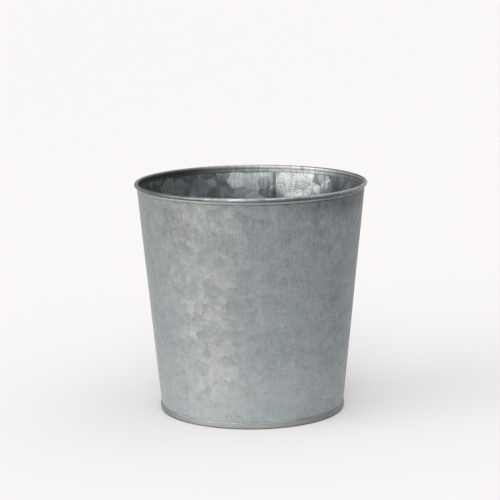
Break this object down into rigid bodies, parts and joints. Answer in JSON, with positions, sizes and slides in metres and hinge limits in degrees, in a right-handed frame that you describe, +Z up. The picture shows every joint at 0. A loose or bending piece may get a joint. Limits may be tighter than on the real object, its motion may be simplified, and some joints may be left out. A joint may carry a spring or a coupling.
{
  "type": "florist bucket",
  "caption": "Tapered round florist bucket of galvanised sheet with a rolled rim, a folded side seam and a crimped-on raised base.",
  "frame": {"origin": "centre of the foot, on the floor the bucket stands on", "axes": "+Z up along the bucket's axis, +Y towards the side seam at the back, +X to the right seen from the front"},
  "size_m": [0.15, 0.15, 0.149],
  "materials": {
    "galvanised_wall": "dull spangled zinc with fine vertical brush marks",
    "galvanised_base": "dull spangled zinc",
    "seam_sealer": "matt",
    "seam_compound": "matt"
  },
  "bodies": {
    "root": {"body_wall": "galvanised_wall", "base_pan": "galvanised_base", "side_seam_sealant": "seam_sealer", "base_seam_compound": "seam_compound"}
  },
  "joints": []
}
